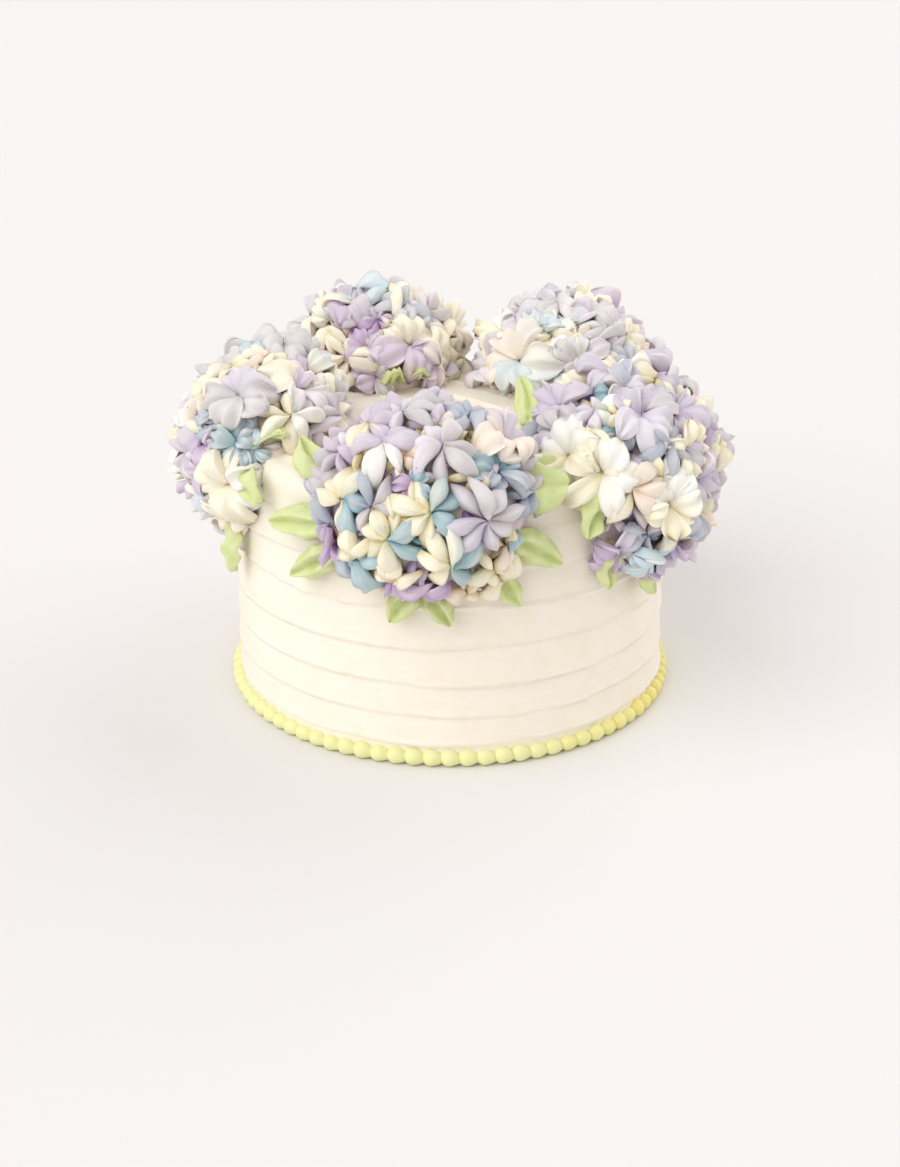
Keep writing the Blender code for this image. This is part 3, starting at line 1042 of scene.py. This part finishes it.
@dataclass
class FlowerHead:
    """A mound of buttercream covered in piped flowers.

    Attributes:
        head: Place and size of the mound.
        flower_radius: Radius of the usual flower.
        root_sink: Depth of the large flowers' roots under the pillow.
        filler_sink: How much deeper the small flowers' roots are.
        gap_sink: How much deeper the roots of the flowers in gaps are.
        sink_spread: How much a root's depth differs from that.
        core_sink: Depth of the mound under the pillow.
        core_lumps: Height of the mound's lumps.
        ring_elevations: Elevations of the rings of flowers.
        ring_counts: Flowers in each ring.
        ring_shift: Greatest turn of a ring's flower away from its even place, in degrees.
        ring_sizes: Sizes of the rings' flowers as shares of the usual flower.
        lonely: Angle in degrees from every listed flower at which a ring's flower is piped.
        fillers: Number of small flowers tucked in between.
        filler_shift: Greatest sideways turn of a small flower, in degrees.
        filler_sizes: Sizes of the small flowers as shares of the usual flower.
        filler_span: Share of the pillow's height that they cover, 2 for all of it.
        places: Number of places that are looked at for gaps.
        place_span: Share of the pillow's height that the places cover, 2 for all of it.
        gap: Angle in degrees from every large flower at which a gap gets its own flower.
        gap_sizes: Sizes of the flowers in gaps as shares of the usual flower.
        lean: Greatest lean of a flower in each direction.
        fan: Greatest turn of a petal away from its even place, in radians.
        crease_shade_strength: How much the painted crease shade darkens and warms a tone that has no white in
            it.
        wash_shade_cut: How much less painted shade there is for a share of white.
        margin: How far a flower's root lies outside the cake.
        long_steps: Divisions along a petal.
    """

    head: Head
    flower_radius: float = 0.0132
    root_sink: float = 0.0095
    filler_sink: float = 0.0012
    gap_sink: float = 0.0006
    sink_spread: float = 0.0013
    core_sink: float = 0.0084
    core_lumps: float = 0.0012
    ring_elevations: tuple[float, ...] = (82, 50, 18, -14, -42)
    ring_counts: tuple[int, ...] = (1, 8, 11, 11, 8)
    ring_shift: float = 5.0
    ring_sizes: tuple[float, float] = (0.88, 1.08)
    lonely: float = 21.0
    fillers: int = 54
    filler_shift: float = 12.0
    filler_sizes: tuple[float, float] = (0.5, 0.72)
    filler_span: float = 1.75
    places: int = 240
    place_span: float = 1.85
    gap: float = 17.0
    gap_sizes: tuple[float, float] = (0.8, 1.0)
    lean: float = 0.24
    fan: float = 0.22
    crease_shade_strength: float = 1.06
    wash_shade_cut: float = 1.2
    margin: float = 0.0015
    long_steps: int = 12

    @cached_property
    def frame(self) -> tuple[Vector, Vector, Vector, Vector]:
        """The centre and the outward, along-the-rim and upward unit vectors."""
        outward = direction(self.head.bearing)
        upward = Vector((0.0, 0.0, 1.0))
        return outward * self.head.reach + upward * self.head.height, outward, upward.cross(outward), upward

    def pillow_point(self, way: Vector, sink: float) -> tuple[Vector, Vector]:
        """Gives the pillow's point and normal in a direction from its centre.

        Args:
            way: Unit vector from the centre.
            sink: Depth under the pillow's surface.

        Returns:
            The point and the unit normal.
        """
        centre, outward, along, upward = self.frame
        head = self.head
        sizes = ((outward, head.outward - sink), (along, head.along - sink), (upward, head.upward - sink))
        shares = [(axis, size, way.dot(axis) / size) for axis, size in sizes]
        length = math.sqrt(sum(share * share for _, _, share in shares))
        normal = sum((axis * (share / size) for axis, size, share in shares), Vector())
        return centre + way / length, normal.normalized()

    def depth(self, point: Vector) -> float:
        """Gives about how deep a point lies under the pillow's surface.

        Args:
            point: The point.

        Returns:
            The depth, which is negative outside.
        """
        centre, outward, along, upward = self.frame
        away = point - centre
        head = self.head
        share = Vector((away.dot(outward) / head.outward, away.dot(along) / head.along,
                        away.dot(upward) / head.upward)).length
        return (1 - share) * head.outward

    def outside_cake(self, point: Vector) -> bool:
        """Tells whether a point lies clear of the cake."""
        above = point.z > CAKE_HEIGHT + self.margin
        return above or math.hypot(point.x, point.y) > CAKE_RADIUS + self.margin

    @staticmethod
    def nearest(way: Vector, taken: list[Vector]) -> float:
        """Gives the angle in degrees to the nearest of the directions that are taken."""
        return min(math.degrees(way.angle(other)) for other in taken)

    def ring_blooms(self, draw: random.Random) -> list[Bloom]:
        """Lists the flowers of the rings that no listed flower is near.

        Args:
            draw: Source of the random draws.

        Returns:
            The flowers.
        """
        listed = [direction(bloom.bearing, bloom.elevation) for bloom in self.head.blooms]
        blooms = []
        for elevation, count, first in zip(self.ring_elevations, self.ring_counts, self.head.firsts):
            for index in range(count):
                bearing = first + 360 * index / count + draw.uniform(-self.ring_shift, self.ring_shift)
                rise = elevation + draw.uniform(-self.ring_shift, self.ring_shift)
                tone, second = draw.choice(RING_PAIRS)
                style = draw.choice((Style.STAR, Style.RUFFLE))
                petals = draw.choice((5, 6)) if style is Style.STAR else draw.choice((4, 5))
                bloom = Bloom(rise, bearing, draw.uniform(*self.ring_sizes), style, tone, second,
                              draw.uniform(-180, 180), petals)
                if self.nearest(direction(bearing, rise), listed) > self.lonely:
                    blooms.append(bloom)
        return blooms

    def gap_blooms(self, piped: list[Bloom], draw: random.Random) -> list[Bloom]:
        """Lists flowers for the places that are far from every other large flower.

        Args:
            piped: The large flowers so far.
            draw: Source of the random draws.

        Returns:
            The flowers.
        """
        taken = [direction(bloom.bearing, bloom.elevation) for bloom in piped]
        blooms = []
        for index in range(self.places):
            rise = math.degrees(math.asin(1 - self.place_span * (index + 0.5) / self.places))
            way = direction(index * GOLDEN_ANGLE, rise)
            if self.nearest(way, taken) > self.gap:
                taken.append(way)
                tone, second = draw.choice(GAP_PAIRS)
                blooms.append(Bloom(rise, index * GOLDEN_ANGLE, draw.uniform(*self.gap_sizes), Style.STAR,
                                    tone, second, draw.uniform(-180, 180), draw.choice((5, 6))))
        return blooms

    def filler_blooms(self, draw: random.Random) -> list[Bloom]:
        """Lists the small flowers that fill the gaps.

        Args:
            draw: Source of the random draws.

        Returns:
            The flowers.
        """
        blooms = []
        for index in range(self.fillers):
            rise = math.degrees(math.asin(1 - self.filler_span * (index + 0.5) / self.fillers))
            bearing = index * GOLDEN_ANGLE + draw.uniform(-self.filler_shift, self.filler_shift)
            tone, second = draw.choice(FILLER_TONES), draw.choice(FILLER_TONES)
            blooms.append(Bloom(rise, bearing, draw.uniform(*self.filler_sizes), Style.STAR, tone, second,
                                draw.uniform(-180, 180), draw.choice((4, 5))))
        return blooms

    def petal_point(self, shape: PetalShape, way: Vector, phase: float, roll: float,
                    twist: float) -> tuple[Vector, float, float]:
        """Gives a petal's point for a point of a unit sphere.

        Args:
            shape: The petal's shape.
            way: Point of the unit sphere, +Z at the petal's root.
            phase: Phase of the frill.
            roll: Lean of the petal about its length.
            twist: Share of the shape's twist, -1 to 1.

        Returns:
            The point in shares of the flower's radius, the share of the length, and the side, -1 to 1.
        """
        share = math.acos(max(-1.0, min(1.0, way.z))) / math.pi
        round_length = math.hypot(way.x, way.y)
        side, lift = (way.y / round_length, way.x / round_length) if round_length > 1e-6 else (0.0, 0.0)
        half = shape.width * hill(share ** shape.belly, shape.fullness)
        thick = shape.thickness * hill(share, 0.6)
        rise = shape.peak * math.exp(-share / 0.15) + shape.arch * math.sin(math.pi * share * shape.crest)
        rise -= shape.droop * share * share
        up = thick * lift + shape.keel * max(0.0, lift) * (1 - abs(side)) * hill(share, 0.6)
        up += shape.cup * side * side * hill(share, 0.5)
        up += shape.frill * math.sin(shape.pleats * side + phase) * share ** 1.2
        across = half * side
        lean = roll + twist * shape.twist * share
        level = across * math.sin(lean) + up * math.cos(lean)
        across = across * math.cos(lean) - up * math.sin(lean)
        return Vector((share * (1 - 0.09 * side * side), across, rise + level)), share, side

    def pipe_petal(self, bm: BMesh, ball: bpy.types.Mesh, bloom: Bloom, matrix: Matrix,
                   turn: float, draw: random.Random) -> None:
        """Pipes one petal.

        Args:
            bm: The head's mesh.
            ball: The sphere that petals are shaped from.
            bloom: The petal's flower.
            matrix: The flower's place.
            turn: The petal's angle in the flower in radians.
            draw: Source of the random draws.
        """
        shape = PETALS[bloom.style]
        radius = self.flower_radius * bloom.size
        stretch = [draw.uniform(*span) for span in (JITTER.length, JITTER.width, JITTER.height)]
        size = Vector(stretch) * radius
        phase = draw.uniform(0, math.tau)
        roll, twist, curl, dip, mark = (
            draw.uniform(*span) for span in (JITTER.roll, JITTER.twist, JITTER.curl, JITTER.dip, JITTER.mark))
        second_way = Vector((math.cos(math.radians(bloom.side)), math.sin(math.radians(bloom.side))))
        tip_lean = seen(matrix.to_3x3() @ Vector((math.cos(turn), math.sin(turn), 0.0))).dot(second_way)
        shade = draw.uniform(*JITTER.shade)
        root = matrix.translation
        pale = Tone.WHITE.linear
        main = bloom.tone.linear.lerp(pale, self.head.wash)
        other = bloom.second.linear.lerp(pale, self.head.wash)
        # Strength of the painted crease shade, smaller for heads with more white in their tones.
        dark = self.crease_shade_strength - self.wash_shade_cut * self.head.wash
        verts = add_ball(bm, ball)
        layers = ball_layers(bm)
        for vert in verts:
            way = vert.co.normalized()
            point, share, side = self.petal_point(shape, way, phase, roll, twist)
            angle = turn + curl * share * share
            local = Vector((point.x * size.x, point.y * size.y, (point.z - dip * share * share) * size.z))
            vert.co = matrix @ (Matrix.Rotation(angle, 3, "Z") @ local)
            weight = ease(tip_lean + 0.3 * seen(vert.co - root).dot(second_way) / radius, 0.1, 0.55)
            tone = main.lerp(other, weight)
            accent = other.lerp(main, weight)
            tone = tone.lerp(pale, shape.rim * ease(abs(side), 0.75, 1.0) * ease(share, 0.3, 0.7))
            # Painted shade: petals are darker and warmer near the flower's pinched centre and where they lie
            # deep under the pillow's surface.
            crease = 0.5 * math.exp(-share / 0.12) + 0.9 * ease(self.depth(vert.co), 0.002, 0.010)
            tone = paint_crease_shade(tone * shade, min(1.0, crease) * dark)
            colour_point(vert, layers, tone, accent, Vector((way.x, way.y, share * 0.55 + mark)))

    def pipe_flower(self, bm: BMesh, ball: bpy.types.Mesh, bloom: Bloom, sink: float,
                    draw: random.Random) -> None:
        """Pipes one flower where its root lies outside the cake.

        Args:
            bm: The head's mesh.
            ball: The sphere that petals are shaped from.
            bloom: The flower.
            sink: Depth of its root under the pillow.
            draw: Source of the random draws.
        """
        depth = sink + draw.uniform(-self.sink_spread, self.sink_spread)
        point, normal = self.pillow_point(direction(bloom.bearing, bloom.elevation), depth)
        lean = Vector([draw.uniform(-self.lean, self.lean) for _ in range(3)])
        spin = draw.uniform(0, math.tau)
        if not self.outside_cake(point):
            return
        facing = (normal + lean).to_track_quat("Z", "Y").to_matrix().to_4x4()
        matrix = Matrix.Translation(point) @ facing
        petals = bloom.petals + 1
        for index in range(petals):
            turn = spin + math.tau * index / petals + draw.uniform(-self.fan, self.fan)
            self.pipe_petal(bm, ball, bloom, matrix, turn, draw)

    def mound(self, bm: BMesh) -> None:
        """Makes the mound that the flowers are piped on.

        Args:
            bm: The head's mesh.
        """
        verts = add_ball(bm, unit_ball(40, 24))
        layers = ball_layers(bm)
        for vert in verts:
            way = vert.co.normalized()
            lumps = noise.noise(way * 4) * self.core_lumps
            vert.co, _ = self.pillow_point(way, self.core_sink - lumps)
            tone = Tone.PURPLE.linear.lerp(Tone.CREAM.linear, ease(noise.noise(way * 3.1), -0.2, 0.3))
            colour_point(vert, layers, tone, tone, way * 2)

    def build(self, material: bpy.types.Material) -> bpy.types.Object:
        """Pipes the whole head.

        Args:
            material: The icing.

        Returns:
            The piece.
        """
        draw = random.Random(self.head.seed)
        balls = {style: unit_ball(shape.round_steps, self.long_steps) for style, shape in PETALS.items()}
        small = unit_ball(12, 9)
        bm = bmesh.new()
        self.mound(bm)
        large = [*self.head.blooms, *self.ring_blooms(draw)]
        for bloom in large:
            self.pipe_flower(bm, balls[bloom.style], bloom, self.root_sink, draw)
        for bloom in self.filler_blooms(draw):
            self.pipe_flower(bm, small, bloom, self.root_sink + self.filler_sink, draw)
        gap_draw = random.Random(self.head.seed + 100)
        for bloom in self.gap_blooms(large, gap_draw):
            self.pipe_flower(bm, balls[bloom.style], bloom, self.root_sink + self.gap_sink, gap_draw)
        bmesh.ops.recalc_face_normals(bm, faces=bm.faces)
        return add_piece(f"{self.head.name}_blooms", bm, material, (self.head.name,))


@dataclass(frozen=True)
class Leaf:
    """A piped leaf that lies on the icing.

    Attributes:
        name: Name of the leaf's CAD node.
        bearing: Bearing of its root.
        run: Way of its root over the icing, from the top's centre outwards and down the side.
        heading: 0 outwards or downwards, 90 towards a growing bearing.
        length: Length.
        width: Greatest width.
        curl: Rise of its tip.
    """

    name: str
    bearing: float
    run: float
    heading: float
    length: float
    width: float
    curl: float


LEAVES = (
    Leaf("leaf_front_a", -27, 0.091, -80, 0.025, 0.013, 0.003),
    Leaf("leaf_front_b", -26, 0.101, -56, 0.021, 0.011, 0.003),
    Leaf("leaf_front_c", -8, 0.111, -32, 0.015, 0.010, 0.002),
    Leaf("leaf_front_d", -5, 0.111, 30, 0.015, 0.010, 0.002),
    Leaf("leaf_front_e", 9, 0.104, 35, 0.017, 0.010, 0.002),
    Leaf("leaf_front_f", 13, 0.0925, 56, 0.021, 0.012, 0.003),
    Leaf("leaf_front_g", 14, 0.079, 82, 0.019, 0.011, 0.004),
    Leaf("leaf_front_h", -33, 0.078, -110, 0.018, 0.010, 0.006),
    Leaf("leaf_left_a", -71, 0.074, 92, 0.024, 0.013, 0.006),
    Leaf("leaf_left_b", -60, 0.086, 78, 0.019, 0.010, 0.003),
    Leaf("leaf_left_c", -66, 0.107, 4, 0.019, 0.011, 0.002),
    Leaf("leaf_left_d", -108, 0.100, -66, 0.024, 0.013, 0.004),
    Leaf("leaf_back_left_a", -162, 0.052, 180, 0.017, 0.011, 0.007),
    Leaf("leaf_back_left_b", -150, 0.050, 165, 0.016, 0.010, 0.008),
    Leaf("leaf_back_left_c", -150, 0.110, 12, 0.024, 0.013, 0.004),
    Leaf("leaf_back_left_d", -172, 0.108, 24, 0.022, 0.012, 0.003),
    Leaf("leaf_back_right_a", 167, 0.063, -156, 0.026, 0.012, 0.002),
    Leaf("leaf_back_right_b", 136, 0.110, -14, 0.024, 0.013, 0.004),
    Leaf("leaf_back_right_c", 122, 0.100, -62, 0.022, 0.012, 0.004),
    Leaf("leaf_right_a", 34, 0.073, -104, 0.020, 0.012, 0.004),
    Leaf("leaf_right_b", 38, 0.082, -38, 0.018, 0.012, 0.005),
    Leaf("leaf_right_c", 41, 0.102, -14, 0.017, 0.011, 0.002),
    Leaf("leaf_right_d", 53, 0.112, 14, 0.018, 0.010, 0.002),
    Leaf("leaf_right_e", 92, 0.100, 62, 0.024, 0.013, 0.004),
    Leaf("leaf_right_f", 64, 0.032, 102, 0.021, 0.011, 0.011),
)


@dataclass
class PipedLeaf:
    """A thick leaf with a crease along its middle and ripples across it.

    Attributes:
        leaf: Place and size of the leaf.
        thickness: Thickness of the icing.
        lift: Clearance over the cake.
        lobe: Height of the two lobes beside the crease.
        ripple: Height of the ripples.
        crumple: Height of the uneven bumps.
        long_cells: Divisions along the leaf.
        wide_cells: Divisions across it.
    """

    leaf: Leaf
    thickness: float = 0.0020
    lift: float = 0.0003
    lobe: float = 0.0031
    ripple: float = 0.0009
    crumple: float = 0.0026
    long_cells: int = 30
    wide_cells: int = 14

    @staticmethod
    def surface_point(bearing: float, run: float, lift: float) -> Vector:
        """Gives a point over the icing.

        Args:
            bearing: Its bearing.
            run: Its way over the icing from the top's centre outwards and down the side.
            lift: Its distance from the icing.

        Returns:
            The point.
        """
        flat = CAKE_RADIUS - CAKE_EDGE
        arc = CAKE_EDGE * math.pi / 2
        if run < flat:
            reach, level = run, CAKE_HEIGHT + lift
        elif run < flat + arc:
            angle = (run - flat) / CAKE_EDGE
            reach = flat + (CAKE_EDGE + lift) * math.sin(angle)
            level = CAKE_HEIGHT - CAKE_EDGE + (CAKE_EDGE + lift) * math.cos(angle)
        else:
            reach, level = CAKE_RADIUS + lift, CAKE_HEIGHT - CAKE_EDGE - (run - flat - arc)
        return direction(bearing) * reach + Vector((0.0, 0.0, level))

    def point(self, share: float, side: float, phase: float, under: bool) -> Vector:
        """Gives a point of the leaf.

        Args:
            share: Share of the length, 0 to 1.
            side: Side, -1 to 1.
            phase: Phase of the ripples.
            under: Whether the point is on the underside.

        Returns:
            The point.
        """
        leaf = self.leaf
        outline = math.sin(math.pi * share ** 0.85) ** 0.62 if 0 < share < 1 else 0.0
        half = leaf.width * max(outline / 2, 0.25 * (1 - share))
        half *= 1 + 0.13 * noise.noise(Vector((share * 6, math.copysign(3, side), phase * 7)))
        forward, across = leaf.length * share, half * side
        turn = math.radians(leaf.heading)
        run = leaf.run + forward * math.cos(turn) - across * math.sin(turn)
        sweep = forward * math.sin(turn) + across * math.cos(turn)
        bearing = leaf.bearing + math.degrees(sweep / max(min(run, CAKE_RADIUS), 0.02))
        swell = hill(share ** 0.8, 0.5)
        lobes = self.lobe * (0.5 - 0.5 * math.cos(math.tau * min(1.0, abs(side)))) * swell
        waves = self.ripple * math.sin(share * 15 + phase + 1.4 * abs(side)) * abs(side) * swell
        bumps = self.crumple * noise.noise(Vector((share * 3.2, side * 1.7, phase * 9))) * (0.3 + 0.7 * swell)
        deepest = 0.4 * self.crumple
        base = self.lift + self.thickness + self.ripple + deepest
        lift = base + leaf.curl * share * share + lobes + waves + max(bumps, -deepest)
        lift -= self.thickness * (1 - 0.3 * side ** 4) if under else self.thickness * 0.35 * side ** 4
        return self.surface_point(bearing, run, lift)

    def build(self, material: bpy.types.Material) -> bpy.types.Object:
        """Pipes the leaf.

        Args:
            material: The icing.

        Returns:
            The piece.
        """
        phase = random.Random(self.leaf.name).uniform(0, math.tau)
        bm = bmesh.new()
        crease = bm.verts.layers.float.new("crease")
        bmesh.ops.create_grid(bm, x_segments=self.long_cells, y_segments=self.wide_cells, size=1.0)
        bmesh.ops.solidify(bm, geom=bm.faces[:], thickness=0.1)
        middle = sum(vert.co.z for vert in bm.verts) / len(bm.verts)
        for vert in bm.verts:
            share, side = min(1.0, max(0.0, (vert.co.x + 1) / 2)), min(1.0, max(-1.0, vert.co.y))
            # Painted shade along the middle crease, where the leaf's groove lies, read by the leaf's
            # material.
            vert[crease] = 0.75 * math.exp(-(side / 0.17) ** 2)
            vert.co = self.point(share, side, phase, vert.co.z < middle)
        bmesh.ops.remove_doubles(bm, verts=bm.verts, dist=2 * SAME_POINT)
        bmesh.ops.recalc_face_normals(bm, faces=bm.faces)
        if bm.calc_volume(signed=True) < 0:
            bmesh.ops.reverse_faces(bm, faces=bm.faces)
        return add_piece(f"{self.leaf.name}_piped", bm, material, (self.leaf.name,))


@dataclass
class Studio:
    """Floor, light and camera.

    Attributes:
        floor_size: Side of the floor.
        air_strength: Strength of the light from all round.
        key_strength: Strength of the soft light from the front left.
        fill_strength: Strength of the soft, warmer light from behind on the right.
        camera_place: Place of the camera.
        camera_tilt: Camera's tilt from straight down in degrees.
        lens: Focal length in millimetres for a 36 mm tall sensor.
        key_tint: Colour of the light from the front left.
        fill_tint: Colour of the light from behind on the right.
    """

    floor_size: float = 120.0
    air_strength: float = 0.70
    key_strength: float = 1.54
    fill_strength: float = 1.2
    camera_place: tuple[float, float, float] = (0.00002, -0.5854, 0.2887)
    camera_tilt: float = 66.5
    lens: float = 49.97
    key_tint: tuple[float, float, float] = (1.0, 0.99, 0.97)
    fill_tint: tuple[float, float, float] = (1.0, 0.97, 0.94)

    def floor(self) -> None:
        """Lays the pale floor."""
        bm = bmesh.new()
        bmesh.ops.create_grid(bm, x_segments=2, y_segments=2, size=self.floor_size / 2)
        mesh = as_mesh("floor", bm)
        material = bpy.data.materials.new("floor_paint")
        material.use_nodes = True
        set_inputs(material.node_tree.nodes["Principled BSDF"],
                   {"Base Color": Tone.FLOOR.rgba, "Roughness": 0.9, "Specular IOR Level": 0.1})
        mesh.materials.append(material)
        in_scene("floor", mesh)

    def sun(self, name: str, strength: float, bearing: float, elevation: float, spread: float,
            colour: tuple[float, float, float]) -> None:
        """Hangs a broad light.

        Args:
            name: Name of the light.
            strength: Strength.
            bearing: Bearing that it comes from.
            elevation: Elevation that it comes from.
            spread: Its width in degrees.
            colour: Its colour.
        """
        data = bpy.data.lights.new(name, "SUN")
        data.energy = strength
        data.angle = math.radians(spread)
        data.color = colour
        light = in_scene(name, data)
        light.rotation_euler = direction(bearing, elevation).to_track_quat("Z", "Y").to_euler()

    def air(self) -> None:
        """Fills the surroundings with a pale light."""
        world = bpy.data.worlds.new("air")
        world.use_nodes = True
        set_inputs(world.node_tree.nodes["Background"],
                   {"Color": Tone.AIR.rgba, "Strength": self.air_strength})
        bpy.context.scene.world = world

    def camera(self) -> None:
        """Sets up the camera at the photograph's angle."""
        data = bpy.data.cameras.new("camera")
        data.sensor_fit = "VERTICAL"
        data.sensor_height = 36.0
        data.lens = self.lens
        camera = in_scene("camera", data)
        camera.location = self.camera_place
        camera.rotation_euler = (math.radians(self.camera_tilt), 0.0, 0.0)
        bpy.context.scene.camera = camera

    def build(self) -> None:
        """Sets up floor, light, camera and the way colours are shown."""
        self.floor()
        self.air()
        self.sun("key", self.key_strength, bearing=-48, elevation=42, spread=60, colour=self.key_tint)
        self.sun("fill", self.fill_strength, bearing=122, elevation=30, spread=80, colour=self.fill_tint)
        self.camera()
        bpy.context.scene.view_settings.view_transform = "Standard"
        bpy.context.scene.view_settings.look = "None"


def save_sizes() -> None:
    """Updates the view layer."""
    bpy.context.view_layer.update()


def main() -> None:
    """Builds the cake's looks piece by piece."""
    logging.basicConfig(level=logging.INFO, format="%(message)s")
    grain = grain_group()
    cake_icing = IcingFinish("cake_icing", roughness=0.42, bump=0.0003).dress(CakeColour(), grain)
    bead_icing = IcingFinish("bead_icing", roughness=0.3, bump=0.0001).dress(BeadColour(), grain)
    flower_icing = IcingFinish("flower_icing", bump=0.00018).dress(FlowerColour(), grain)
    leaf_icing = IcingFinish("leaf_icing", bump=0.0003, fineness=1.5).dress(LeafColour(), grain)
    CakeBody().build(cake_icing)
    BeadBorder().build(bead_icing)
    for head in HEADS:
        FlowerHead(head).build(flower_icing)
    for leaf in LEAVES:
        PipedLeaf(leaf).build(leaf_icing)
    Studio().build()
    save_sizes()


if __name__ == "__main__":
    main()
